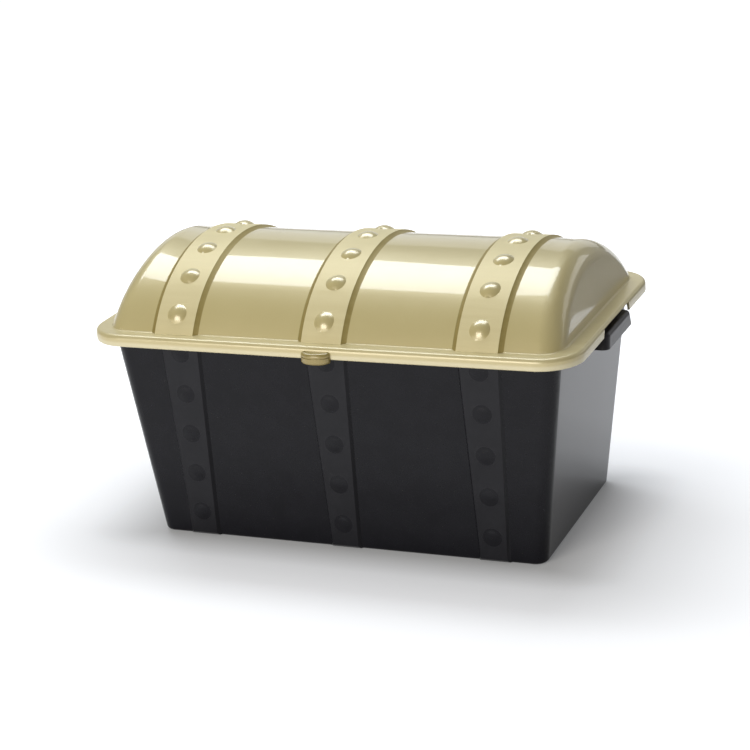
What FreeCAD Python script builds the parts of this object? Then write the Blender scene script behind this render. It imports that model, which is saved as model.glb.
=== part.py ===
import FreeCAD
import Part
import math
import os

# Toy chest with a tapered tub and an arched lid hinged at the back, in millimetres.
# The origin is on the floor, under the middle of the tub. +X is right, -Y is the front.

# Cuts run past the faces that they open by this much
overrun = 4.0

# Tub
tub_height = 260.7
tub_base_length = 488.6
tub_base_width = 265.4
tub_base_corner = 15.0
tub_base_round = 5.0
tub_mouth_length = 553.2
tub_mouth_width = 298.6
tub_mouth_corner = 18.0
tub_wall = 3.0
tub_floor = 3.0
tub_rim_overhang = 13.5
tub_rim_thickness = 3.0
tub_rim_round = 1.0

# Raised bands and studs of the tub, on the front and the back
band_count = 3
band_end_room = 59.5
band_top_width = 49.0
band_bottom_width = 35.0
band_proud = 4.0
band_flank = 3.0
band_root = 1.5
band_toe_height = 1.5
band_toe_slope = 3.0
tub_stud_diameter = 23.0
tub_stud_height = 1.7
tub_stud_count = 5
tub_stud_first_height = 33.0
tub_stud_top_room = 22.5

# Lid rim
lid_seat_gap = 0.3
lid_wall = 3.0
lid_end_room = 7.9
lid_side_room = 7.3
lid_back_room = 2.0
rim_corner = 48.0
rim_front_bow = 2.0
rim_edge_round = 5.0
skirt_height = 14.0
skirt_edge_round = 1.8

# Arched shell of the lid
flange_end_width = 20.5
flange_side_width = 17.5
dome_height = 77.8
dome_foot_angle = math.radians(59.6)
dome_shoulder_angle = math.radians(30.0)
dome_end_lean = 12.5
dome_end_round = 28.0
dome_foot_round = 2.0

# Raised straps and studs of the lid
strap_count = 3
strap_end_room = 93.9
strap_width = 49.0
strap_proud = 3.4
strap_flank = 5.6
strap_root = 1.5
strap_edge_round = 1.5
lid_stud_diameter = 24.0
lid_stud_height = 4.5
lid_stud_pairs = 3
lid_stud_foot_room = 23.6

# How far a stud reaches into the face under it
stud_root = 1.2

# End grips and the cut-outs of the skirt above them
grip_top_length = 94.0
grip_bottom_length = 105.0
grip_rise = 3.5
grip_height = 17.5
grip_top_reach = 28.5
grip_bottom_reach = 31.2
grip_wall = 3.0
grip_end_round = 8.0
grip_edge_round = 4.5
grip_peg_count = 2
grip_peg_spacing = 60.0
grip_peg_diameter = 7.0
grip_peg_head_diameter = 10.0
grip_peg_head = 2.0
grip_peg_head_gap = 0.8
peg_clearance = 0.1
notch_top_length = 101.0
notch_bottom_length = 109.0

# Lift tab in the front skirt
tab_width = 35.6
tab_reach = 11.5
tab_top_drop = 4.6
tab_bottom_drop = 4.2
tab_edge_round = 3.6
tab_dish_depth = 0.9
tab_dish_round = 0.8
tab_dish_rim = 4.2
tab_groove_drop = 4.6
tab_groove_height = 1.3
tab_groove_depth = 1.0
tab_tongue_width = 22.0
tab_tongue_height = 5.0
tab_keeper_width = 28.0
tab_keeper_thickness = 1.6
tab_keeper_edge = 1.0
tab_clearance = 0.1

# Hinges
hinge_count = 2
hinge_band_room = 64.8
hinge_setback = 10.2
hinge_rise = 3.0
hinge_open_angle = 105.0
knuckle_diameter = 11.0
knuckle_length = 20.0
knuckle_gap = 0.4
ear_thickness = 8.0
ear_skirt_gap = 1.2
plate_length = 62.0
base_plate_height = 32.0
base_plate_thickness = 4.0
leaf_plate_thickness = 3.0
leaf_plate_edge = 1.0
leaf_link_height = 6.0
stop_bar_height = 5.5
stop_bar_gap = 1.0
stop_bar_setback = 6.2
heel_thickness = 4.0
heel_reach = 10.5
heel_stop_gap = math.radians(1.0)
pin_diameter = 4.0
pin_head_diameter = 7.0
pin_head_length = 1.5
pin_ear_clearance = 0.02
pin_running_clearance = 0.05

# Screws of the hinge plates
plate_screw_count = 2
screw_spacing = 50.0
screw_diameter = 3.5
screw_head_diameter = 7.0
screw_head_height = 2.2
screw_plate_clearance = 0.15
screw_thread_clearance = 0.02
screw_tip_room = 1.0
tub_boss_diameter = 9.0
tub_boss_length = 7.0
lid_boss_diameter = 7.6
lid_boss_length = 1.5

# Levels and places that follow from the sizes above
rim_length = tub_mouth_length + 2 * (tub_rim_overhang + lid_end_room + lid_wall)
rim_side = tub_mouth_width / 2 + tub_rim_overhang + lid_side_room + lid_wall
dome_length = rim_length - 2 * flange_end_width
dome_width = 2 * (rim_side - flange_side_width)
band_pitch = (tub_base_length - 2 * band_end_room) / (band_count - 1)
strap_pitch = (dome_length - 2 * strap_end_room) / (strap_count - 1)
tub_stud_spacing = (tub_height - tub_stud_first_height - tub_stud_top_room) / (tub_stud_count - 1)
hinge_spacing = 2 * (band_pitch - hinge_band_room)
flange_under = tub_height + lid_seat_gap
flange_top = flange_under + lid_wall
skirt_bottom = flange_top - skirt_height
rim_front = -(rim_side + rim_front_bow)
rim_back = rim_side - lid_side_room + lid_back_room
axis_y = rim_back + hinge_setback
axis_z = skirt_bottom + hinge_rise
knuckle_radius = knuckle_diameter / 2
pin_radius = pin_diameter / 2
wall_lean_y = (tub_mouth_width - tub_base_width) / 2 / tub_height
grip_top = skirt_bottom + grip_rise
grip_bottom = grip_top - grip_height
stop_bar_top = axis_z - knuckle_radius - stop_bar_gap


def point(x, y, z):
    return FreeCAD.Vector(x, y, z)


def line(a, b):
    return Part.LineSegment(a, b).toShape()


def arc(a, middle, b):
    return Part.Arc(a, middle, b).toShape()


def prism(corners, sweep):
    """A straight solid from the corners of its flat section."""
    return Part.Face(Part.makePolygon(corners + corners[:1])).extrude(sweep)


def centred_box(length, low, high, x=0):
    """A box centred on x, between two (y, z) corners."""
    corner = point(x - length / 2, low[0], low[1])
    return Part.makeBox(length, high[0] - low[0], high[1] - low[1], corner)


def rod(radius, start, end):
    way = end - start
    return Part.makeCylinder(radius, way.Length, start, way)


def fuse(shapes):
    whole = shapes[0].fuse(shapes[1:]) if len(shapes) > 1 else shapes[0]
    return whole.removeSplitter()


def places(count, pitch):
    """Evenly pitched places about zero."""
    return [(i - (count - 1) / 2) * pitch for i in range(count)]


def stud(diameter, height, foot, normal):
    """A domed stud on the face at foot, sunk a little into it."""
    radius = ((diameter / 2) ** 2 + height ** 2) / (2 * height)
    centre = foot - normal * (radius - height)
    lowest = math.degrees(math.asin((radius - height - stud_root) / radius))
    return Part.makeSphere(radius, centre, normal, lowest, 90, 360)


# Tub


def rounded_rectangle(half_length, half_width, corner, z):
    """A closed outline with round corners at height z."""
    edges = []
    inner_x = half_length - corner
    inner_y = half_width - corner
    reach = corner * math.sqrt(0.5)
    for sx, sy in ((1, 1), (-1, 1), (-1, -1), (1, -1)):
        on_side = point(sx * half_length, sy * inner_y, z)
        on_front = point(sx * inner_x, sy * half_width, z)
        middle = point(sx * (inner_x + reach), sy * (inner_y + reach), z)
        first, last = (on_side, on_front) if sx * sy > 0 else (on_front, on_side)
        if edges:
            edges.append(line(edges[-1].lastVertex().Point, first))
        edges.append(arc(first, middle, last))
    edges.append(line(edges[-1].lastVertex().Point, edges[0].firstVertex().Point))
    return Part.Wire(edges)


def tub_half_length(z):
    return (tub_base_length + (tub_mouth_length - tub_base_length) * z / tub_height) / 2


def tub_half_width(z):
    return (tub_base_width + (tub_mouth_width - tub_base_width) * z / tub_height) / 2


def tub_corner(z):
    return tub_base_corner + (tub_mouth_corner - tub_base_corner) * z / tub_height


def tub_outline(z, inset):
    corner = tub_corner(z) - inset
    return rounded_rectangle(tub_half_length(z) - inset, tub_half_width(z) - inset, corner, z)


def tub_block(low, high, inset):
    return Part.makeLoft([tub_outline(low, inset), tub_outline(high, inset)], True, True)


def tub_body():
    """The tapered body, rounded at the floor, with its rim plate."""
    body = tub_block(0, tub_height, 0)
    floor_edges = [e for e in body.Edges if e.BoundBox.ZMax < tub_base_round]
    body = body.makeFillet(tub_base_round, floor_edges)
    outline = rounded_rectangle(
        tub_mouth_length / 2 + tub_rim_overhang,
        tub_mouth_width / 2 + tub_rim_overhang,
        tub_mouth_corner + tub_rim_overhang,
        tub_height - tub_rim_thickness,
    )
    rim = Part.Face(outline).extrude(point(0, 0, tub_rim_thickness))
    rim = rim.makeFillet(tub_rim_round, [e for e in rim.Edges if e.BoundBox.ZLength < tub_rim_round])
    return body.fuse(rim)


def band_width(z):
    return band_bottom_width + (band_top_width - band_bottom_width) * z / skirt_bottom


def band_section(x, side, z, depth, proud, trim):
    """The flat section of a band across the wall, from depth inside it to proud of it."""
    slope = band_flank / band_proud
    half = (band_width(z) + band_flank) / 2 - trim
    wall = tub_half_width(z)
    inner = half + slope * depth
    outer = half - slope * proud
    return Part.makePolygon([
        point(x - inner, side * (wall - depth), z),
        point(x - outer, side * (wall + proud), z),
        point(x + outer, side * (wall + proud), z),
        point(x + inner, side * (wall - depth), z),
        point(x - inner, side * (wall - depth), z),
    ])


def band(x, side):
    """A band with a sloped toe at the floor, up to the rim plate."""
    full = band_toe_height + band_toe_slope
    top = tub_height - tub_rim_thickness / 2
    sections = [
        band_section(x, side, band_toe_height, band_root, band_proud - band_toe_slope, 0),
        band_section(x, side, full, band_root, band_proud, 0),
        band_section(x, side, top, band_root, band_proud, 0),
    ]
    return Part.makeLoft(sections, True, True)


def band_hollow(x, side):
    """The hollow behind a band, which keeps the wall even."""
    low = tub_base_round + tub_wall + band_proud
    high = tub_height - tub_rim_thickness - tub_wall - band_proud
    depth = tub_wall + band_root
    proud = band_proud - tub_wall
    ends = [band_section(x, side, z, depth, proud, tub_wall) for z in (low, high)]
    return Part.makeLoft(ends, True, True)


def band_studs(x, side):
    normal = point(0, side, -wall_lean_y).normalize()
    shapes = []
    for i in range(tub_stud_count):
        z = tub_stud_first_height + i * tub_stud_spacing
        foot = point(x, side * (tub_half_width(z) + band_proud), z)
        shapes.append(stud(tub_stud_diameter, tub_stud_height, foot, normal))
    return shapes


def base_screw_places():
    """Where each base plate screw meets the back wall, and the wall's normal there."""
    z = skirt_bottom - ear_skirt_gap - base_plate_height / 2
    normal = point(0, 1, -wall_lean_y).normalize()
    spots = []
    for x in places(hinge_count, hinge_spacing):
        for dx in places(plate_screw_count, screw_spacing):
            spots.append(point(x + dx, tub_half_width(z), z))
    return spots, normal


def grip_peg_places(side):
    z = grip_top - grip_height / 2
    x = side * tub_half_length(z)
    return [point(x, y, z) for y in places(grip_peg_count, grip_peg_spacing)]


def make_tub():
    raised = [tub_body()]
    hollows = [tub_block(tub_floor, tub_height + overrun, tub_wall)]
    for x in places(band_count, band_pitch):
        for side in (-1, 1):
            raised.append(band(x, side))
            raised.extend(band_studs(x, side))
            hollows.append(band_hollow(x, side))
    shell = fuse(raised).cut(hollows)
    spots, normal = base_screw_places()
    start, end = normal * (tub_wall / 2), normal * (tub_wall + tub_boss_length)
    bosses = [rod(tub_boss_diameter / 2, p - start, p - end) for p in spots]
    shell = fuse([shell] + bosses)
    thread = screw_diameter / 2 + screw_thread_clearance
    deep = tub_wall + tub_boss_length + overrun
    holes = [rod(thread, p + normal * overrun, p - normal * deep) for p in spots]
    for side in (-1, 1):
        for p in grip_peg_places(side):
            way = point(side * (tub_wall + overrun), 0, 0)
            holes.append(rod(grip_peg_diameter / 2 + peg_clearance, p - way, p + way))
    return shell.cut(holes)


# Lid


def rim_outline(inset, z):
    """The rim's outline, straight at the back and bowed at the front."""
    half_length = rim_length / 2 - inset
    corner = rim_corner - inset
    back = rim_back - inset
    front = rim_front + inset
    bow_radius = ((rim_length / 2) ** 2 + rim_front_bow ** 2) / (2 * rim_front_bow) - inset
    bow_centre = front + bow_radius
    corner_x = half_length - corner
    front_y = bow_centre - math.sqrt((bow_radius - corner) ** 2 - corner_x ** 2)
    turn = math.atan2(corner_x, bow_centre - front_y)
    reach = corner * math.sqrt(0.5)
    meet = point(bow_radius * math.sin(turn), bow_centre - bow_radius * math.cos(turn), z)
    half_turn = (turn + math.pi / 2) / 2
    bend = point(corner_x + corner * math.sin(half_turn), front_y - corner * math.cos(half_turn), z)
    back_y = back - corner
    back_end = point(corner_x, back, z)
    back_bend = point(corner_x + reach, back_y + reach, z)
    side_back = point(half_length, back_y, z)
    side_front = point(half_length, front_y, z)
    right = [back_end, back_bend, side_back, side_front, bend, meet]
    left = [point(-p.x, p.y, z) for p in right]
    return Part.Wire([
        line(left[0], right[0]),
        arc(right[0], right[1], right[2]),
        line(right[2], right[3]),
        arc(right[3], right[4], right[5]),
        arc(right[5], point(0, front, z), left[5]),
        arc(left[5], left[4], left[3]),
        line(left[3], left[2]),
        arc(left[2], left[1], left[0]),
    ])


def arch_radii():
    """Radii of the crown and of the sides of the three-centred arch."""
    s0, c0 = math.sin(dome_foot_angle), math.cos(dome_foot_angle)
    s1, c1 = math.sin(dome_shoulder_angle), math.cos(dome_shoulder_angle)
    spread = (s0 - s1) * (1 - c1) - s1 * (c1 - c0)
    side = (dome_width / 2 * (1 - c1) - s1 * dome_height) / spread
    crown = ((s0 - s1) * dome_height - (c1 - c0) * dome_width / 2) / spread
    return crown, side


crown_radius, side_radius = arch_radii()
crown_centre = point(0, 0, flange_top + dome_height - crown_radius)


def arch_radial(turn):
    return point(0, math.sin(turn), math.cos(turn))


def arch_centre(turn):
    """Centre of the arc that the arch follows at this turn, negative towards the front."""
    if abs(turn) <= dome_shoulder_angle:
        return crown_centre
    shoulder = math.copysign(dome_shoulder_angle, turn)
    return crown_centre + arch_radial(shoulder) * (crown_radius - side_radius)


def arch_radius(turn):
    return crown_radius if abs(turn) <= dome_shoulder_angle else side_radius


def arch_point(turn, lift):
    return arch_centre(turn) + arch_radial(turn) * (arch_radius(turn) + lift)


def arch_turn(distance, lift):
    """The turn at this distance from the crown, along the arch raised by lift."""
    crown_run = (crown_radius + lift) * dome_shoulder_angle
    if abs(distance) <= crown_run:
        return distance / (crown_radius + lift)
    past = (abs(distance) - crown_run) / (side_radius + lift)
    return math.copysign(dome_shoulder_angle + past, distance)


def arch_face(lift, drop):
    """The arch's section, with its sides run on straight by drop below the foot."""
    foot, shoulder = dome_foot_angle, dome_shoulder_angle
    between = (foot + shoulder) / 2
    turns = [-foot, -between, -shoulder, 0, shoulder, between, foot]
    p = [arch_point(t, lift) for t in turns]
    run = (drop + lift * math.cos(foot)) / math.sin(foot)
    tail = point(0, run * math.cos(foot), -run * math.sin(foot))
    left = point(0, p[0].y - tail.y, p[0].z + tail.z)
    right = p[-1] + tail
    return Part.Face(Part.Wire([
        line(left, p[0]),
        arc(p[0], p[1], p[2]),
        arc(p[2], p[3], p[4]),
        arc(p[4], p[5], p[6]),
        line(p[6], right),
        line(right, left),
    ]))


def dome_block(inset, drop):
    """The arched body with leaning ends and round end edges, drawn in by inset."""
    lean = dome_end_lean / dome_height
    skirted = dome_end_round + overrun
    low = flange_top - skirted
    high = flange_top + dome_height + overrun
    end = dome_length / 2 - inset * math.hypot(1, lean)
    low_x = end + lean * skirted
    high_x = end - lean * (dome_height + overrun)
    span = dome_width + overrun
    arch = arch_face(-inset, skirted).extrude(point(2 * low_x, 0, 0))
    arch.translate(point(-low_x, 0, 0))
    corners = [point(-low_x, -span, low), point(low_x, -span, low),
               point(high_x, -span, high), point(-high_x, -span, high)]
    block = arch.common(prism(corners, point(0, 2 * span, 0)))
    ends = []
    for face in block.Faces:
        if abs(face.normalAt(0, 0).x) > math.cos(dome_shoulder_angle):
            ends.extend(e for e in face.Edges if e.BoundBox.ZLength > overrun)
    block = block.makeFillet(dome_end_round - inset, ends)
    below = centred_box(2 * span + dome_length, (-span, low - overrun), (span, flange_top - drop))
    return block.cut(below)


def strap_section(x, turn, depth, proud, trim):
    """The flat section of a strap at this turn of the arch, with round outer edges."""
    slope = strap_flank / strap_proud
    tilt = math.atan2(strap_proud, strap_flank)
    half = strap_width / 2 - trim
    cut = strap_edge_round * math.tan(tilt / 2)
    inner = half + slope * (proud + depth)
    centre, radial, radius = arch_centre(turn), arch_radial(turn), arch_radius(turn)

    def at(across, lift):
        return centre + radial * (radius + lift) + point(x + across, 0, 0)

    low = at(inner, -depth)
    down = at(half + cut * math.cos(tilt), proud - cut * math.sin(tilt))
    bend_across = half - cut + strap_edge_round * math.sin(tilt / 2)
    bend = at(bend_across, proud - strap_edge_round * (1 - math.cos(tilt / 2)))
    flat = at(half - cut, proud)
    flip = [point(2 * x - p.x, p.y, p.z) for p in (low, down, bend, flat)]
    return Part.Face(Part.Wire([
        line(low, down),
        arc(down, bend, flat),
        line(flat, flip[3]),
        arc(flip[3], flip[2], flip[1]),
        line(flip[1], flip[0]),
        line(flip[0], low),
    ]))


def strap_runs(x, depth, proud, trim):
    """A strap over the whole arch, as one run for each arc."""
    runs = []
    shoulder, foot = dome_shoulder_angle, dome_foot_angle
    for start, end in ((-foot, -shoulder), (-shoulder, shoulder), (shoulder, foot)):
        inside = (start + end) / 2
        section = strap_section(x, inside, depth, proud, trim)
        axis = point(x, arch_centre(inside).y, arch_centre(inside).z)
        section = section.rotated(axis, point(-1, 0, 0), math.degrees(start - inside))
        runs.append(section.revolve(axis, point(-1, 0, 0), math.degrees(end - start)))
    return runs


def strap_feet(x):
    """Straight ends that take a strap down into the flange."""
    foot = dome_foot_angle
    run = (strap_proud * math.cos(foot) + lid_wall / 2) / math.sin(foot)
    feet = []
    for side in (-1, 1):
        section = strap_section(x, side * foot, strap_root, strap_proud, 0)
        feet.append(section.extrude(point(0, side * run * math.cos(foot), -run * math.sin(foot))))
    return feet


def strap_studs(x):
    crown_run = (crown_radius + strap_proud) * dome_shoulder_angle
    side_run = (side_radius + strap_proud) * (dome_foot_angle - dome_shoulder_angle)
    spacing = (crown_run + side_run - lid_stud_foot_room) / lid_stud_pairs
    shapes = []
    for i in range(-lid_stud_pairs, lid_stud_pairs + 1):
        turn = arch_turn(i * spacing, strap_proud)
        foot = arch_point(turn, strap_proud) + point(x, 0, 0)
        shapes.append(stud(lid_stud_diameter, lid_stud_height, foot, arch_radial(turn)))
    return shapes


def rim_block():
    """The rim's outside, from the skirt's lower edge to the flange, with round edges."""
    block = Part.Face(rim_outline(0, skirt_bottom)).extrude(point(0, 0, skirt_height))
    top = [e for e in block.Edges if e.BoundBox.ZMin > flange_under]
    block = block.makeFillet(rim_edge_round, top)
    bottom = [e for e in block.Edges if e.BoundBox.ZMax < skirt_bottom + skirt_edge_round / 2]
    return block.makeFillet(skirt_edge_round, bottom)


def crest():
    """Rim and arch in one, with the soft corner where the arch leaves the flange."""
    whole = rim_block().fuse(dome_block(0, lid_wall / 2)).removeSplitter()
    reach_x = dome_length / 2 + dome_foot_round
    reach_y = dome_width / 2 + dome_foot_round
    foot = []
    for e in whole.Edges:
        box = e.BoundBox
        flat = abs(box.ZMin - flange_top) + abs(box.ZMax - flange_top) < lid_seat_gap
        inside_x = max(abs(box.XMin), abs(box.XMax)) < reach_x
        inside_y = max(abs(box.YMin), abs(box.YMax)) < reach_y
        if flat and inside_x and inside_y:
            foot.append(e)
    return whole.makeFillet(dome_foot_round, foot)


def leaf_screw_places():
    """Where each leaf plate screw meets the back skirt."""
    z = (skirt_bottom + leaf_plate_edge + flange_top - rim_edge_round) / 2
    spots = []
    for x in places(hinge_count, hinge_spacing):
        for dx in places(plate_screw_count, screw_spacing):
            spots.append(point(x + dx, rim_back, z))
    return spots


def grip_notch(side):
    """The cut-out of the skirt above a grip, wider at its lower edge."""
    x = side * (rim_length / 2 - rim_corner)
    top, bottom = notch_top_length / 2, notch_bottom_length / 2
    low = skirt_bottom - overrun
    low_half = bottom + (bottom - top) * overrun / (skirt_height - lid_wall)
    corners = [point(x, -low_half, low), point(x, low_half, low),
               point(x, top, flange_under), point(x, -top, flange_under)]
    return prism(corners, point(side * (rim_corner + overrun), 0, 0))


def tab_slot_middle():
    return (skirt_bottom + flange_under) / 2


def tab_slot(clearance):
    """The tongue's way through the front skirt."""
    half = tab_tongue_height / 2 + clearance
    low = (rim_front - overrun, tab_slot_middle() - half)
    high = (rim_front + lid_wall + overrun, tab_slot_middle() + half)
    return centred_box(tab_tongue_width + 2 * clearance, low, high)


def make_lid():
    raised = [crest()]
    hollows = []
    for x in places(strap_count, strap_pitch):
        raised.extend(strap_runs(x, strap_root, strap_proud, 0))
        raised.extend(strap_feet(x))
        raised.extend(strap_studs(x))
        hollows.extend(strap_runs(x, lid_wall + strap_root, strap_proud - lid_wall, lid_wall))
    shell = fuse(raised)
    tray_depth = skirt_height - lid_wall + overrun
    tray = Part.Face(rim_outline(lid_wall, skirt_bottom - overrun)).extrude(point(0, 0, tray_depth))
    shell = shell.cut([tray, dome_block(lid_wall, lid_wall + overrun)]).cut(hollows)
    inward = point(0, -1, 0)
    spots = leaf_screw_places()
    start, end = inward * (lid_wall / 2), inward * (lid_wall + lid_boss_length)
    bosses = [rod(lid_boss_diameter / 2, p + start, p + end) for p in spots]
    shell = fuse([shell] + bosses)
    thread = screw_diameter / 2 + screw_thread_clearance
    deep = lid_wall + lid_boss_length + overrun
    holes = [rod(thread, p - inward * overrun, p + inward * deep) for p in spots]
    return shell.cut([grip_notch(-1), grip_notch(1), tab_slot(tab_clearance)] + holes)


# Grips and lift tab


def grip_frustum(side, low, high, inset):
    """A block on the end wall that flares towards its lower edge."""
    wires = []
    for z in (low, high):
        share = (z - grip_bottom) / grip_height
        half = (grip_bottom_length + (grip_top_length - grip_bottom_length) * share) / 2 - inset
        reach = grip_bottom_reach + (grip_top_reach - grip_bottom_reach) * share - inset
        wall = tub_half_length(z)
        inner, outer = side * (wall + inset), side * (wall + reach)
        corners = [point(inner, -half, z), point(outer, -half, z),
                   point(outer, half, z), point(inner, half, z)]
        wires.append(Part.makePolygon(corners + corners[:1]))
    return Part.makeLoft(wires, True, True)


def round_ends(block, radius):
    """Round the outer uprights of a grip block."""
    outside = tub_half_length(grip_top) + grip_top_reach / 2
    uprights = [e for e in block.Edges
                if e.BoundBox.ZLength > grip_height / 2 and abs(e.CenterOfMass.x) > outside]
    return block.makeFillet(radius, uprights)


def make_grip(side):
    """A finger grip, open underneath, held by two headed pegs through the wall."""
    block = round_ends(grip_frustum(side, grip_bottom, grip_top, 0), grip_end_round)
    outside = tub_half_length(grip_top) + grip_top_reach / 2
    rims = [e for e in block.Edges
            if e.BoundBox.ZMin > grip_top - grip_edge_round and abs(e.CenterOfMass.x) > outside]
    block = block.makeFillet(grip_edge_round, rims)
    hollow = grip_frustum(side, grip_bottom - overrun, grip_top - grip_wall, grip_wall)
    block = block.cut(round_ends(hollow, grip_end_round - grip_wall))
    pieces = [block]
    for p in grip_peg_places(side):
        inward = point(-side, 0, 0)
        head = p + inward * (tub_wall + grip_peg_head_gap)
        pieces.append(rod(grip_peg_diameter / 2, p - inward * (grip_wall / 2), head))
        pieces.append(rod(grip_peg_head_diameter / 2, head, head + inward * grip_peg_head))
    return fuse(pieces)


def half_ellipse(half_width, reach, y, z):
    """The front half of an ellipse whose straight side lies at y."""
    ellipse = Part.Ellipse(point(0, y, z), half_width, reach)
    front = Part.ArcOfEllipse(ellipse, math.pi, 2 * math.pi).toShape()
    return Part.Face(Part.Wire([front, line(front.lastVertex().Point, front.firstVertex().Point)]))


def curved_rims(solid, back):
    """The level edges round the front of a half-round block."""
    level = [e for e in solid.Edges if e.BoundBox.ZLength < tab_dish_round]
    return [e for e in level if e.BoundBox.YMin < back - tab_dish_rim]


def tab_groove(back, top):
    """The groove that sets the tab's round brim off from its front."""
    low = top - tab_groove_height
    rise = point(0, 0, tab_groove_height)
    around = half_ellipse(tab_width / 2 + overrun, tab_reach + overrun, back, low)
    core = half_ellipse(tab_width / 2 - tab_groove_depth, tab_reach - tab_groove_depth, back, low)
    return around.extrude(rise).cut(core.extrude(rise))


def make_lift_tab():
    """The thumb piece, its tongue through the skirt and the keeper behind it."""
    back = rim_front - tab_clearance
    low = skirt_bottom - tab_bottom_drop
    high = flange_top - tab_top_drop
    pad = half_ellipse(tab_width / 2, tab_reach, back, low).extrude(point(0, 0, high - low))
    pad = pad.makeFillet(tab_edge_round, curved_rims(pad, back))
    dish_width = tab_width / 2 - tab_dish_rim
    dish = half_ellipse(dish_width, tab_reach - tab_dish_rim, back, high - tab_dish_depth)
    dish = dish.extrude(point(0, 0, tab_dish_depth + overrun))
    sole = [e for e in curved_rims(dish, back) if e.BoundBox.ZMax < high]
    pad = pad.cut([dish.makeFillet(tab_dish_round, sole), tab_groove(back, high - tab_groove_drop)])
    middle = tab_slot_middle()
    inner_face = rim_front + lid_wall + tab_clearance
    half = tab_tongue_height / 2
    tongue_low = (back - tab_edge_round, middle - half)
    tongue = centred_box(tab_tongue_width, tongue_low, (inner_face, middle + half))
    keeper = centred_box(
        tab_keeper_width,
        (inner_face, middle - half - tab_keeper_edge),
        (inner_face + tab_keeper_thickness, middle + half + tab_keeper_edge),
    )
    return fuse([pad, tongue, keeper])


# Hinges


def knuckle(x, length, radius):
    """A round barrel on the hinge axis, centred on x."""
    return rod(radius, point(x - length / 2, axis_y, axis_z), point(x + length / 2, axis_y, axis_z))


def make_hinge_base(x):
    """A plate on the back wall with two ears and the bar that stops the lid."""
    top = skirt_bottom - ear_skirt_gap
    low = top - base_plate_height
    low_y, top_y = tub_half_width(low), tub_half_width(top)
    skew = [point(x - plate_length / 2, low_y, low), point(x - plate_length / 2, top_y, top),
            point(x - plate_length / 2, top_y + base_plate_thickness, top),
            point(x - plate_length / 2, low_y + base_plate_thickness, low)]
    pieces = [prism(skew, point(plate_length, 0, 0))]
    near = axis_y - knuckle_radius
    slant = knuckle_radius * math.sqrt(0.5)
    for side in (-1, 1):
        middle = x + side * (knuckle_length / 2 + knuckle_gap + ear_thickness / 2)
        start = middle - ear_thickness / 2
        ear = [point(start, low_y + base_plate_thickness / 2, low + base_plate_thickness),
               point(start, axis_y + slant, axis_z - slant), point(start, axis_y, axis_z),
               point(start, near, axis_z), point(start, near, top),
               point(start, top_y + base_plate_thickness / 2, top)]
        pieces.append(prism(ear, point(ear_thickness, 0, 0)))
        pieces.append(knuckle(middle, ear_thickness, knuckle_radius))
    bar_low = (top_y + base_plate_thickness / 2, stop_bar_top - stop_bar_height)
    bar = centred_box(knuckle_length + 2 * knuckle_gap + ear_thickness, bar_low,
                      (axis_y - stop_bar_setback, stop_bar_top), x)
    base = fuse(pieces + [bar])
    cuts = [knuckle(x, plate_length, pin_radius + pin_ear_clearance)]
    spots, normal = base_screw_places()
    for p in spots:
        if abs(p.x - x) < plate_length / 2:
            shank = screw_diameter / 2 + screw_plate_clearance
            cuts.append(rod(shank, p - normal * overrun, p + normal * (base_plate_thickness + overrun)))
    return base.cut(cuts)


def heel_turn():
    """Direction of the heel with the lid shut, so that its tip meets the bar with the lid open."""
    tip = math.hypot(heel_reach, heel_thickness / 2)
    tip_at_bar = math.acos(stop_bar_setback / tip) - math.pi
    heel_at_bar = tip_at_bar + math.atan2(heel_thickness / 2, heel_reach)
    return heel_at_bar + math.radians(hinge_open_angle) + heel_stop_gap


def make_hinge_leaf(x):
    """A plate on the back skirt with the middle knuckle and the stop heel."""
    low = skirt_bottom + leaf_plate_edge
    high = flange_top - rim_edge_round
    plate_back = rim_back + leaf_plate_thickness
    plate = centred_box(plate_length, (rim_back, low), (plate_back, high), x)
    link = centred_box(knuckle_length, (plate_back - leaf_plate_thickness / 2, axis_z),
                       (axis_y, axis_z + leaf_link_height), x)
    heel = Part.makeBox(knuckle_length, heel_reach, heel_thickness,
                        point(x - knuckle_length / 2, axis_y, axis_z - heel_thickness / 2))
    heel.rotate(point(x, axis_y, axis_z), point(1, 0, 0), math.degrees(heel_turn()))
    barrel = knuckle(x, knuckle_length, knuckle_radius)
    leaf = fuse([plate, link, heel, barrel])
    cuts = [knuckle(x, plate_length, pin_radius + pin_running_clearance)]
    for p in leaf_screw_places():
        if abs(p.x - x) < plate_length / 2:
            way = point(0, leaf_plate_thickness + overrun, 0)
            cuts.append(rod(screw_diameter / 2 + screw_plate_clearance, p - way, p + way))
    return leaf.cut(cuts)


def make_hinge_pin(x):
    """A headed pin through both ears, its head on the outer side."""
    side = math.copysign(1, x)
    half = knuckle_length / 2 + knuckle_gap + ear_thickness
    outer = point(x + side * half, axis_y, axis_z)
    inner = point(x - side * half, axis_y, axis_z)
    head = outer + point(side * pin_head_length, 0, 0)
    return fuse([rod(pin_radius, inner, outer), rod(pin_head_diameter / 2, outer, head)])


def screw(seat, inward, length):
    """A screw whose head sits at seat and whose shank runs inward."""
    shank = rod(screw_diameter / 2, seat, seat + inward * length)
    head = rod(screw_head_diameter / 2, seat - inward * screw_head_height, seat)
    rim = [e for e in head.Edges if e.Length > screw_head_diameter and
           (e.CenterOfMass - seat).Length > screw_head_height / 2]
    head = head.makeFillet(screw_head_height / 2, rim)
    return fuse([shank, head])


def make_tub_hinge_screws():
    spots, normal = base_screw_places()
    length = base_plate_thickness + tub_wall + tub_boss_length - screw_tip_room
    seats = [p + normal * base_plate_thickness for p in spots]
    return Part.makeCompound([screw(seat, -normal, length) for seat in seats])


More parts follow.
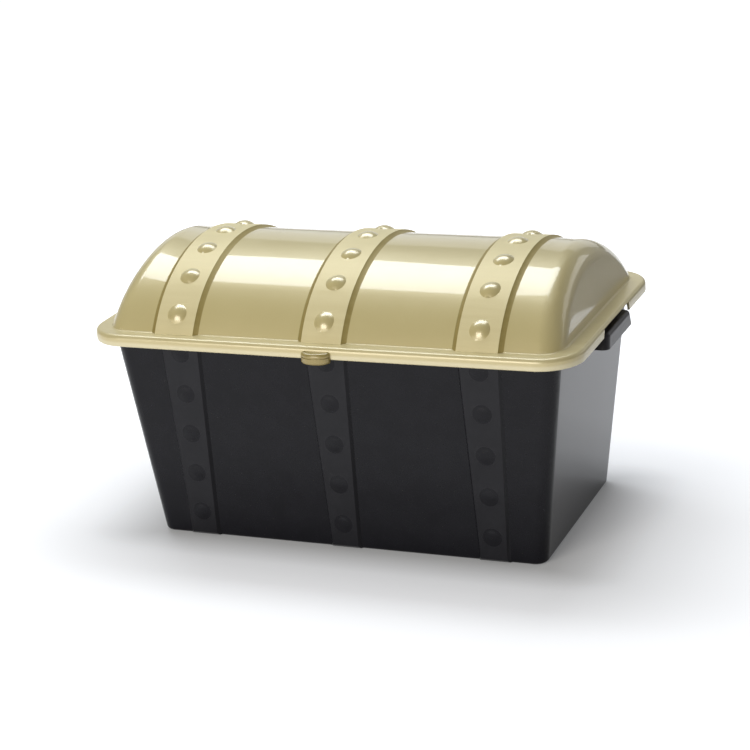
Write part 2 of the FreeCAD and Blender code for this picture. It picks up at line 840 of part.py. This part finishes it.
def make_lid_hinge_screws():
    outward = point(0, 1, 0)
    length = leaf_plate_thickness + lid_wall + lid_boss_length - screw_tip_room
    seats = [p + outward * leaf_plate_thickness for p in leaf_screw_places()]
    return Part.makeCompound([screw(seat, -outward, length) for seat in seats])


def make_parts():
    left, right = places(hinge_count, hinge_spacing)
    return {
        "tub": make_tub(),
        "lid": make_lid(),
        "lift_tab": make_lift_tab(),
        "grip_left": make_grip(-1),
        "grip_right": make_grip(1),
        "hinge_base_left": make_hinge_base(left),
        "hinge_base_right": make_hinge_base(right),
        "hinge_leaf_left": make_hinge_leaf(left),
        "hinge_leaf_right": make_hinge_leaf(right),
        "hinge_pin_left": make_hinge_pin(left),
        "hinge_pin_right": make_hinge_pin(right),
        "tub_hinge_screws": make_tub_hinge_screws(),
        "lid_hinge_screws": make_lid_hinge_screws(),
    }


os.makedirs("parts", exist_ok=True)
for name, shape in make_parts().items():
    shape.exportStep("parts/" + name + ".step")
    print(name, len(shape.Solids), "solids", round(shape.Volume / 1000, 2), "cm3", shape.isValid())
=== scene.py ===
import math

import bmesh
import bpy
from mathutils import Matrix, Vector


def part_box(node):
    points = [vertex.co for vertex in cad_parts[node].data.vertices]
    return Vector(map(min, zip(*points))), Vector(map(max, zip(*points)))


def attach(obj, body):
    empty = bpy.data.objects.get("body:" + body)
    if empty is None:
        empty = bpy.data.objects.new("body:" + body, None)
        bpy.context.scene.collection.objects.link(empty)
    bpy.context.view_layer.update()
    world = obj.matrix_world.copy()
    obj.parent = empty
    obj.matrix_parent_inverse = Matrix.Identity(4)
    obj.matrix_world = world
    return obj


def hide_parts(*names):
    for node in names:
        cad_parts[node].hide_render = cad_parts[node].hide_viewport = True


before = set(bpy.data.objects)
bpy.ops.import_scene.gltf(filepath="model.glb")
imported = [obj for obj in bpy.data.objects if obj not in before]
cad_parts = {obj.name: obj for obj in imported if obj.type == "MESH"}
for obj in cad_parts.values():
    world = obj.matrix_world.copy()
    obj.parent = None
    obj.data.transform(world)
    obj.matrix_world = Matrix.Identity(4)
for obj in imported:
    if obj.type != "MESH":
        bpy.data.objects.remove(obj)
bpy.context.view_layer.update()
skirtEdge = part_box("lid")[0][2]  # height of the lid's lower edge
print("frame loaded with", len(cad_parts), "nodes")


# shared helpers for the shader trees

mixSockets = {"factor": 0, "first": 6, "second": 7, "result": 2}  # the colour sockets of the Mix node


def newMaterial(name):
    material = bpy.data.materials.new(name)
    material.use_nodes = True
    tree = material.node_tree
    return material, tree, tree.nodes["Principled BSDF"]


def objectPoint(tree, stretch=(1, 1, 1)):
    coord = tree.nodes.new("ShaderNodeTexCoord")
    mapping = tree.nodes.new("ShaderNodeMapping")
    mapping.inputs["Scale"].default_value = stretch
    tree.links.new(coord.outputs["Object"], mapping.inputs["Vector"])
    return mapping.outputs["Vector"]


def noiseValue(tree, scale, detail, roughness=0.5, stretch=(1, 1, 1)):
    noise = tree.nodes.new("ShaderNodeTexNoise")
    noise.inputs["Scale"].default_value = scale
    noise.inputs["Detail"].default_value = detail
    noise.inputs["Roughness"].default_value = roughness
    tree.links.new(objectPoint(tree, stretch), noise.inputs["Vector"])
    return noise.outputs["Fac"]


def remap(tree, value, fromSpan, toSpan):
    node = tree.nodes.new("ShaderNodeMapRange")
    node.inputs["From Min"].default_value, node.inputs["From Max"].default_value = fromSpan
    node.inputs["To Min"].default_value, node.inputs["To Max"].default_value = toSpan
    tree.links.new(value, node.inputs["Value"])
    return node.outputs["Result"]


def blendColor(tree, factor, firstColor, secondColor):
    node = tree.nodes.new("ShaderNodeMix")
    node.data_type = "RGBA"
    for socket, color in (("first", firstColor), ("second", secondColor)):
        if isinstance(color, tuple):
            node.inputs[mixSockets[socket]].default_value = (*color, 1)
        else:
            tree.links.new(color, node.inputs[mixSockets[socket]])
    tree.links.new(factor, node.inputs[mixSockets["factor"]])
    return node.outputs[mixSockets["result"]]


def mathValue(tree, operation, first, second):
    node = tree.nodes.new("ShaderNodeMath")
    node.operation = operation
    for index, value in enumerate((first, second)):
        if isinstance(value, float):
            node.inputs[index].default_value = value
        else:
            tree.links.new(value, node.inputs[index])
    return node.outputs[0]


def bumpFrom(tree, shader, layers):
    # each layer is (height, (strength, distance in metres)), laid one over the other
    normal = None
    for height, (strength, distance) in layers:
        bump = tree.nodes.new("ShaderNodeBump")
        bump.inputs["Strength"].default_value = strength
        bump.inputs["Distance"].default_value = distance
        tree.links.new(height, bump.inputs["Height"])
        if normal:
            tree.links.new(normal, bump.inputs["Normal"])
        normal = bump.outputs["Normal"]
    tree.links.new(normal, shader.inputs["Normal"])


# gold plastic of the lid

goldPlastic = {
    "metallic": 0.12,
    "coatIor": 1.45,
    "flakes": {"scale": 2600.0, "detail": 1.0},
    "flakeShow": ((0.3, 0.7), (0.0, 0.5)),
    "flakeBump": (0.05, 0.00005),
    "cloud": {"scale": 14.0, "detail": 3.0},
    "cloudShow": ((0.3, 0.7), (0.0, 0.5)),
    "scuffs": {"scale": 60.0, "detail": 6.0, "roughness": 0.7, "stretch": (1, 3, 3)},
    "scuffSpan": (0.3, 0.75),
    "wave": {"scale": 9.0, "detail": 1.0},
    "waveBump": (0.06, 0.004),
    "grain": {"scale": 1700.0, "detail": 2.0},
    "grainShow": ((0.3, 0.7), (0.0, 0.45)),
    "grainBump": (0.16, 0.0001),
    "flow": {"scale": 26.0, "detail": 4.0, "roughness": 0.6, "stretch": (0.25, 3, 6)},
    "flowShow": ((0.3, 0.7), (0.0, 0.55)),
    "flowSpan": (0.3, 0.7),
    "flowBump": (0.04, 0.001),
}

panelGold = {
    "deepColor": (0.530, 0.435, 0.185),
    "paleColor": (0.585, 0.488, 0.222),
    "roughness": (0.37, 0.43),
    "gloss": 1.0,
    "coatRoughness": 0.04,
}

studGold = {
    "deepColor": (0.530, 0.434, 0.186),
    "paleColor": (0.585, 0.488, 0.222),
    "roughness": (0.28, 0.34),
    "gloss": 1.0,
    "coatRoughness": 0.20,
}

tabGold = {
    "deepColor": (0.300, 0.226, 0.068),
    "paleColor": (0.370, 0.288, 0.098),
    "roughness": (0.28, 0.34),
    "gloss": 0.55,
    "coatRoughness": 0.04,
}

strapGold = {
    "deepColor": (0.640, 0.545, 0.290),
    "paleColor": (0.700, 0.605, 0.340),
    "roughness": (0.46, 0.54),
    "specular": 0.45,
}

# strap flanks: a much deeper gold, painted shade for the shade that falls on them
flankShadeGold = {
    "deepColor": (0.270, 0.205, 0.062),
    "paleColor": (0.330, 0.258, 0.090),
    "roughness": (0.46, 0.54),
    "specular": 0.25,
}

rimGold = {
    "deepColor": (0.560, 0.465, 0.222),
    "paleColor": (0.640, 0.545, 0.285),
    "roughness": (0.28, 0.36),
    "specular": 1.0,
    # a paler gold near the skirt's lower edge, a painted highlight
    "paintedHighlightColor": (0.760, 0.680, 0.440),
    "paintedHighlightHeight": (0.0045, 0.0070),  # above the lower edge of the skirt, where a paler gold is painted as a highlight
    "paintedHighlightShow": (0.8, 0.0),
}


def goldGloss(name, look):
    material, tree, shader = newMaterial(name)
    flakes = noiseValue(tree, **goldPlastic["flakes"])
    cloud = noiseValue(tree, **goldPlastic["cloud"])
    mixed = mathValue(tree, "ADD", remap(tree, flakes, *goldPlastic["flakeShow"]),
                      remap(tree, cloud, *goldPlastic["cloudShow"]))
    color = blendColor(tree, mixed, look["deepColor"], look["paleColor"])
    tree.links.new(color, shader.inputs["Base Color"])
    scuffs = noiseValue(tree, **goldPlastic["scuffs"])
    tree.links.new(remap(tree, scuffs, goldPlastic["scuffSpan"], look["roughness"]),
                   shader.inputs["Roughness"])
    shader.inputs["Metallic"].default_value = goldPlastic["metallic"]
    shader.inputs["Specular IOR Level"].default_value = look["gloss"]
    shader.inputs["Coat Weight"].default_value = look["gloss"]
    shader.inputs["Coat IOR"].default_value = goldPlastic["coatIor"]
    shader.inputs["Coat Roughness"].default_value = look["coatRoughness"]
    wave = noiseValue(tree, **goldPlastic["wave"])
    bumpFrom(tree, shader, [(wave, goldPlastic["waveBump"]), (flakes, goldPlastic["flakeBump"])])
    return material


def heightAbove(tree, level):
    split = tree.nodes.new("ShaderNodeSeparateXYZ")
    tree.links.new(objectPoint(tree), split.inputs["Vector"])
    return mathValue(tree, "SUBTRACT", split.outputs["Z"], level)


def goldSatin(name, look):
    material, tree, shader = newMaterial(name)
    grain = noiseValue(tree, **goldPlastic["grain"])
    flow = noiseValue(tree, **goldPlastic["flow"])
    mixed = mathValue(tree, "ADD", remap(tree, grain, *goldPlastic["grainShow"]),
                      remap(tree, flow, *goldPlastic["flowShow"]))
    color = blendColor(tree, mixed, look["deepColor"], look["paleColor"])
    # painted highlight: paler gold mixed in near the skirt's lower edge
    if "paintedHighlightColor" in look:
        lift = heightAbove(tree, skirtEdge)
        paintedHighlight = remap(tree, lift, look["paintedHighlightHeight"], look["paintedHighlightShow"])
        color = blendColor(tree, paintedHighlight, color, look["paintedHighlightColor"])
    tree.links.new(color, shader.inputs["Base Color"])
    tree.links.new(remap(tree, flow, goldPlastic["flowSpan"], look["roughness"]),
                   shader.inputs["Roughness"])
    shader.inputs["Metallic"].default_value = goldPlastic["metallic"]
    shader.inputs["Specular IOR Level"].default_value = look["specular"]
    bumpFrom(tree, shader, [(flow, goldPlastic["flowBump"]), (grain, goldPlastic["grainBump"])])
    return material


# black plastic of the tub, the grips and the hinges

panelBlack = {
    "deepColor": (0.0045, 0.0042, 0.0066),
    "dustColor": (0.0080, 0.0077, 0.0110),
    "roughness": (0.05, 0.11),
    "ior": 1.30,
    "dust": {"scale": 35.0, "detail": 8.0, "roughness": 0.7},
    "dustShow": ((0.4, 0.75), (0.0, 1.0)),
    "haze": {"scale": 6.0, "detail": 3.0},
    "hazeShow": ((0.35, 0.7), (0.0, 0.4)),
    "streaks": {"scale": 90.0, "detail": 5.0, "roughness": 0.65, "stretch": (4, 4, 0.4)},
    "streakShow": ((0.45, 0.8), (0.0, 0.6)),
    "wave": {"scale": 8.0, "detail": 1.0},
    "waveBump": (0.05, 0.003),
}

satinBlack = {
    "roughness": (0.30, 0.38),
    "roughnessSpan": (0.3, 0.7),
    "dust": {"scale": 30.0, "detail": 7.0, "roughness": 0.7},
    "dustShow": ((0.4, 0.75), (0.0, 1.0)),
    "grain": {"scale": 1500.0, "detail": 2.0},
    "grainBump": (0.18, 0.00012),
}

bandBlack = {"deepColor": (0.0054, 0.0051, 0.0074), "dustColor": (0.0094, 0.0091, 0.0122), "ior": 1.35}
gripBlack = {"deepColor": (0.0190, 0.0170, 0.0190), "dustColor": (0.0300, 0.0270, 0.0300), "ior": 1.40}


def blackGloss(name, look):
    material, tree, shader = newMaterial(name)
    dust = noiseValue(tree, **look["dust"])
    dusty = remap(tree, dust, *look["dustShow"])
    color = blendColor(tree, dusty, look["deepColor"], look["dustColor"])
    tree.links.new(color, shader.inputs["Base Color"])
    haze = noiseValue(tree, **look["haze"])
    streaks = noiseValue(tree, **look["streaks"])
    mixed = mathValue(tree, "ADD", remap(tree, streaks, *look["streakShow"]),
                      remap(tree, haze, *look["hazeShow"]))
    tree.links.new(remap(tree, mixed, (0.0, 1.0), look["roughness"]), shader.inputs["Roughness"])
    shader.inputs["IOR"].default_value = look["ior"]
    wave = noiseValue(tree, **look["wave"])
    bumpFrom(tree, shader, [(wave, look["waveBump"])])
    return material


def blackSatin(name, look):
    material, tree, shader = newMaterial(name)
    grain = noiseValue(tree, **satinBlack["grain"])
    dust = noiseValue(tree, **satinBlack["dust"])
    dusty = remap(tree, dust, *satinBlack["dustShow"])
    color = blendColor(tree, dusty, look["deepColor"], look["dustColor"])
    tree.links.new(color, shader.inputs["Base Color"])
    tree.links.new(remap(tree, dust, satinBlack["roughnessSpan"], satinBlack["roughness"]),
                   shader.inputs["Roughness"])
    shader.inputs["IOR"].default_value = look["ior"]
    bumpFrom(tree, shader, [(grain, satinBlack["grainBump"])])
    return material


# zinc-plated steel of the pins and screws

zincSteel = {
    "brightColor": (0.52, 0.53, 0.55),
    "dullColor": (0.36, 0.37, 0.38),
    "roughness": (0.24, 0.40),
    "cloud": {"scale": 400.0, "detail": 5.0, "roughness": 0.65},
    "cloudSpan": (0.3, 0.7),
    "cloudBump": (0.08, 0.0001),
}


def brightZinc(name, look):
    material, tree, shader = newMaterial(name)
    cloud = noiseValue(tree, **look["cloud"])
    color = blendColor(tree, remap(tree, cloud, look["cloudSpan"], (0.0, 1.0)),
                       look["brightColor"], look["dullColor"])
    tree.links.new(color, shader.inputs["Base Color"])
    tree.links.new(remap(tree, cloud, look["cloudSpan"], look["roughness"]), shader.inputs["Roughness"])
    shader.inputs["Metallic"].default_value = 1.0
    bumpFrom(tree, shader, [(cloud, look["cloudBump"])])
    return material


finishes = {
    "lidPanel": goldGloss("lidPanelGold", panelGold),
    "lidStud": goldGloss("lidStudGold", studGold),
    "lidTab": goldGloss("lidTabGold", tabGold),
    "lidStrap": goldSatin("lidStrapGold", strapGold),
    "lidShadedFlank": goldSatin("lidShadedFlankGold", flankShadeGold),
    "lidRim": goldSatin("lidRimGold", rimGold),
    "tubPanel": blackGloss("tubPanelBlack", panelBlack),
    "tubSatin": blackSatin("tubSatinBlack", bandBlack),
    "gripSatin": blackSatin("gripSatinBlack", gripBlack),
    "zinc": brightZinc("hingeZinc", zincSteel),
}
print("materials made:", len(finishes))


# smooth copies of the CAD nodes

copying = {"weld": 2e-6, "crease": math.radians(14), "sharpAngle": math.radians(34)}


def weldedCopy(nodeName):
    bm = bmesh.new()
    bm.from_mesh(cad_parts[nodeName].data)
    bmesh.ops.remove_doubles(bm, verts=bm.verts, dist=copying["weld"])
    bmesh.ops.dissolve_degenerate(bm, edges=bm.edges, dist=copying["weld"])
    for face in bm.faces:
        face.smooth = True
        face.material_index = 0
    bm.faces.index_update()
    return bm


def smoothRegions(bm):
    # lists of faces that join without a crease between them
    seen = set()
    for first in bm.faces:
        if first.index in seen:
            continue
        seen.add(first.index)
        region, waiting = [], [first]
        while waiting:
            face = waiting.pop()
            region.append(face)
            for edge in face.edges:
                if edge.calc_face_angle(math.pi) > copying["crease"]:
                    continue
                for other in edge.link_faces:
                    if other.index not in seen:
                        seen.add(other.index)
                        waiting.append(other)
        yield region


def regionBox(region):
    points = [v.co for face in region for v in face.verts]
    low = Vector([min(p[i] for p in points) for i in range(3)])
    high = Vector([max(p[i] for p in points) for i in range(3)])
    return low, high


def markSharp(bm):
    for edge in bm.edges:
        edge.smooth = edge.calc_face_angle(math.pi) < copying["sharpAngle"]


def finishPiece(bm, pieceName, nodeName, body, slot, finishNames):
    markSharp(bm)
    mesh = bpy.data.meshes.new(pieceName)
    bm.to_mesh(mesh)
    bm.free()
    for name in finishNames:
        mesh.materials.append(finishes[name])
    piece = bpy.data.objects.new(pieceName, mesh)
    bpy.context.scene.collection.objects.link(piece)
    weighted = piece.modifiers.new("evenNormals", "WEIGHTED_NORMAL")
    weighted.mode = "FACE_AREA"
    weighted.keep_sharp = True
    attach(piece, body)
    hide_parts(nodeName)


# lid: glossy panels and studs, satin straps with flanks painted a deeper gold as shade, and a rim painted
# paler near its lower edge as a highlight

lidLook = {
    "finishes": ("lidPanel", "lidStrap", "lidStud", "lidShadedFlank", "lidRim"),
    "skirtHeight": 0.014,  # from the lower edge up to the flat of the rim
    "rimMargin": 0.002,
    "archCentre": (0, 0, 0.1264),
    "strapWidth": 0.066,  # straps are narrower than this
    "flankNormal": 0.30,  # flanks face sideways more than this
    "studSize": (0.018, 0.030),  # studs are between these lengths
}
rimTop = skirtEdge + lidLook["skirtHeight"]


def lidRegionKind(region):
    low, high = regionBox(region)
    size = high - low
    studLeast, studMost = lidLook["studSize"]
    if low.z <= rimTop - lidLook["rimMargin"]:
        return "shell"
    if studLeast < max(size) < studMost:
        return "stud"
    return "strap" if size.x < lidLook["strapWidth"] else "shell"


def lidFaceFinish(face, kind):
    if kind == "stud":
        return "lidStud"
    if kind == "strap":
        # flank faces get the deeper gold that is painted as shade
        return "lidShadedFlank" if abs(face.normal.x) > lidLook["flankNormal"] else "lidStrap"
    centre = face.calc_center_median()
    if centre.z < rimTop + lidLook["rimMargin"]:
        return "lidRim"
    outward = face.normal.dot(centre - Vector(lidLook["archCentre"])) > 0
    return "lidPanel" if outward else "lidStrap"


def makeLid():
    bm = weldedCopy("lid")
    for region in smoothRegions(bm):
        kind = lidRegionKind(region)
        for face in region:
            face.material_index = lidLook["finishes"].index(lidFaceFinish(face, kind))
    finishPiece(bm, "lidShell", "lid", "lid_body", "lid_gold", lidLook["finishes"])


# tub: glossy panels and studs, satin bands and inside

tubLook = {
    "finishes": ("tubPanel", "tubSatin"),
    "bandWidth": 0.060,  # bands are narrower than this
    "bandHeight": 0.20,  # and taller than this
    "bandDepthShare": 0.125,  # and deeper than this share of their width
    "studTurn": math.radians(0.6),  # studs lean more than this from the flat of a band
}


def tubFaceFinish(face, isBand, bandNormal):
    centre = face.calc_center_median()
    outward = face.normal.dot(Vector((centre.x, centre.y, 0))) > 0
    onFlatBand = isBand and face.normal.angle(bandNormal) <= tubLook["studTurn"]
    return "tubPanel" if outward and not onFlatBand else "tubSatin"


def makeTub():
    bm = weldedCopy("tub")
    for region in smoothRegions(bm):
        low, high = regionBox(region)
        size = high - low
        isBand = (size.x < tubLook["bandWidth"] and size.z > tubLook["bandHeight"]
                  and size.y > size.x * tubLook["bandDepthShare"])
        bandNormal = max(region, key=lambda face: face.calc_area()).normal
        for face in region:
            face.material_index = tubLook["finishes"].index(tubFaceFinish(face, isBand, bandNormal))
    finishPiece(bm, "tubShell", "tub", "tub_body", "tub_black", tubLook["finishes"])


# small fittings, one finish each

fittings = [
    ("liftTab", "lift_tab", "lid_body", "lid_gold", "lidTab"),
    ("gripLeft", "grip_left", "tub_body", "grip_black", "gripSatin"),
    ("gripRight", "grip_right", "tub_body", "grip_black", "gripSatin"),
    ("hingeBaseLeft", "hinge_base_left", "tub_body", "hinge_black", "tubSatin"),
    ("hingeBaseRight", "hinge_base_right", "tub_body", "hinge_black", "tubSatin"),
    ("hingeLeafLeft", "hinge_leaf_left", "lid_body", "hinge_black", "tubSatin"),
    ("hingeLeafRight", "hinge_leaf_right", "lid_body", "hinge_black", "tubSatin"),
    ("hingePinLeft", "hinge_pin_left", "tub_body", "steel", "zinc"),
    ("hingePinRight", "hinge_pin_right", "tub_body", "steel", "zinc"),
    ("tubHingeScrews", "tub_hinge_screws", "tub_body", "steel", "zinc"),
    ("lidHingeScrews", "lid_hinge_screws", "lid_body", "steel", "zinc"),
]


def makeFittings():
    for pieceName, nodeName, body, slot, finish in fittings:
        finishPiece(weldedCopy(nodeName), pieceName, nodeName, body, slot, (finish,))


makeLid()
makeTub()
makeFittings()


# floor, board and cards

paper = {"color": (0.68, 0.665, 0.645), "roughness": 0.9, "specular": 0.1, "glowColor": (0.95, 0.965, 1.0)}

floor = {
    "halfSize": 12.0,
    "footprint": (0.250, 0.138, 0.0),  # half the tub's foot and a little more
    "glowStretch": (1.0, 1.8, 1.0),
    # low glow near the footprint paints a darker shadow round the chest's foot
    "glowSteps": ((0.0, 0.11), (0.10, 0.40), (0.30, 0.60), (2.0, 0.95)),  # metres from the footprint, glow
}

board = {"halfLength": 12.0, "place": 2.6, "height": (0.45, 1.75), "glow": 0.46}

# cards that show only as reflections, set for the lid's right end
cards = {
    "greyCard": {"edge": ((0.40, 1.06), (1.30, 0.57)), "height": (0.068, 1.20), "glow": 0.30},
    "stripCard": {"edge": ((0.60, 0.935), (1.09, 0.416)), "height": (0.45, 0.74), "glow": 1.35},
}


def stageSheet(name, corners, material):
    bm = bmesh.new()
    bm.faces.new([bm.verts.new(corner) for corner in corners])
    mesh = bpy.data.meshes.new(name)
    bm.to_mesh(mesh)
    bm.free()
    mesh.materials.append(material)
    sheet = bpy.data.objects.new(name, mesh)
    bpy.context.scene.collection.objects.link(sheet)
    return sheet


def uprightSheet(name, near, far, height, material):
    low, high = height
    sheet = stageSheet(name, [(*near, low), (*far, low), (*far, high), (*near, high)], material)
    sheet.visible_camera = False
    return sheet


def paperMaterial(name):
    # plain paper, and a value that is 1 where it is seen or mirrored
    material, tree, shader = newMaterial(name)
    shader.inputs["Base Color"].default_value = (*paper["color"], 1)
    shader.inputs["Roughness"].default_value = paper["roughness"]
    shader.inputs["Specular IOR Level"].default_value = paper["specular"]
    shader.inputs["Emission Color"].default_value = (*paper["glowColor"], 1)
    light = tree.nodes.new("ShaderNodeLightPath")
    seen = mathValue(tree, "ADD", light.outputs["Is Camera Ray"], light.outputs["Is Glossy Ray"])
    seen = mathValue(tree, "ADD", seen, light.outputs["Is Transmission Ray"])
    return material, tree, shader, seen


def footprintDistance(tree):
    away = objectPoint(tree)
    steps = (("ABSOLUTE", None), ("SUBTRACT", floor["footprint"]), ("MAXIMUM", (0, 0, 0)),
             ("MULTIPLY", floor["glowStretch"]))
    for operation, amount in steps:
        node = tree.nodes.new("ShaderNodeVectorMath")
        node.operation = operation
        tree.links.new(away, node.inputs[0])
        if amount:
            node.inputs[1].default_value = amount
        away = node.outputs["Vector"]
    length = tree.nodes.new("ShaderNodeVectorMath")
    length.operation = "LENGTH"
    tree.links.new(away, length.inputs[0])
    return length.outputs["Value"]


def floorPaper():
    # the glow grows with the distance from the chest, so the real shadow stays and the floor round the
    # chest's foot is left darker as a painted shadow
    material, tree, shader, seen = paperMaterial("floorPaper")
    ramp = tree.nodes.new("ShaderNodeValToRGB")
    stops = ramp.color_ramp.elements
    reach = floor["glowSteps"][-1][0]
    for index, (distance, level) in enumerate(floor["glowSteps"]):
        stop = stops[index] if index < len(stops) else stops.new(1.0)
        stop.position = distance / reach
        stop.color = (level, level, level, 1)
    tree.links.new(remap(tree, footprintDistance(tree), (0.0, reach), (0.0, 1.0)), ramp.inputs["Fac"])
    glow = mathValue(tree, "MULTIPLY", ramp.outputs["Color"], seen)
    tree.links.new(glow, shader.inputs["Emission Strength"])
    return material


def boardPaper():
    material, tree, shader, seen = paperMaterial("boardPaper")
    tree.links.new(mathValue(tree, "MULTIPLY", seen, board["glow"]), shader.inputs["Emission Strength"])
    return material


def cardPaper(name, glow):
    material, tree, shader = newMaterial(name)
    shader.inputs["Base Color"].default_value = (0, 0, 0, 1)
    shader.inputs["Specular IOR Level"].default_value = 0.0
    shader.inputs["Emission Color"].default_value = (1, 1, 1, 1)
    shader.inputs["Emission Strength"].default_value = glow
    return material


def makeBackground():
    half = floor["halfSize"]
    stageSheet("studioFloor", [(-half, -half, 0), (half, -half, 0), (half, half, 0), (-half, half, 0)],
               floorPaper())
    side, back = board["halfLength"], board["place"]
    uprightSheet("studioBoard", (-side, back), (side, back), board["height"], boardPaper())
    for name, card in cards.items():
        sheet = uprightSheet(name, *card["edge"], card["height"], cardPaper(name + "Paper", card["glow"]))
        sheet.visible_diffuse = False
        sheet.visible_shadow = False


# sky, lamps and camera

sky = {"color": (0.96, 0.98, 1.0), "strength": 0.20}

lamps = {
    "topSoftbox": {"place": (-0.50, 0.64, 1.75), "aim": (-0.50, 0.64, 0.0), "size": (1.80, 0.84),
                   "watts": 29.0, "color": (0.86, 0.92, 1.0)},
    "frontSoftbox": {"place": (-0.60, -3.3, 1.05), "aim": (0.0, 0.0, 0.2), "size": (2.3, 1.8),
                     "watts": 73.0, "color": (1.0, 0.985, 0.95)},
}

photoView = {
    "azimuth": math.radians(23.2436),
    "elevation": math.radians(19.2026),
    "roll": math.radians(-4.4154),
    "distance": 2.5708,
    "target": (-0.0047, 0.0, 0.16952),
    "lens": 101.96,
    "sensorWidth": 36.0,
}


def makeSky():
    world = bpy.data.worlds.new("studioSky")
    bpy.context.scene.world = world
    world.use_nodes = True
    backdrop = world.node_tree.nodes["Background"]
    backdrop.inputs["Color"].default_value = (*sky["color"], 1)
    backdrop.inputs["Strength"].default_value = sky["strength"]


def makeLamps():
    for name, lamp in lamps.items():
        data = bpy.data.lights.new(name, "AREA")
        data.shape = "RECTANGLE"
        data.size, data.size_y = lamp["size"]
        data.energy = lamp["watts"]
        data.color = lamp["color"]
        lampObject = bpy.data.objects.new(name, data)
        bpy.context.scene.collection.objects.link(lampObject)
        place = Vector(lamp["place"])
        lampObject.location = place
        lampObject.rotation_euler = (Vector(lamp["aim"]) - place).to_track_quat("-Z", "Y").to_euler()


def makeCamera():
    data = bpy.data.cameras.new("photoCamera")
    data.lens = photoView["lens"]
    data.sensor_width = photoView["sensorWidth"]
    camera = bpy.data.objects.new("photoCamera", data)
    bpy.context.scene.collection.objects.link(camera)
    around, up = photoView["azimuth"], photoView["elevation"]
    back = Vector((math.sin(around) * math.cos(up), -math.cos(around) * math.cos(up), math.sin(up)))
    turn = (-back).to_track_quat("-Z", "Y").to_matrix() @ Matrix.Rotation(photoView["roll"], 3, "Z")
    place = Vector(photoView["target"]) + back * photoView["distance"]
    camera.matrix_world = Matrix.Translation(place) @ turn.to_4x4()
    bpy.context.scene.camera = camera


makeBackground()
makeSky()
makeLamps()
makeCamera()
bpy.context.scene.view_settings.view_transform = "Standard"
print("studio set")
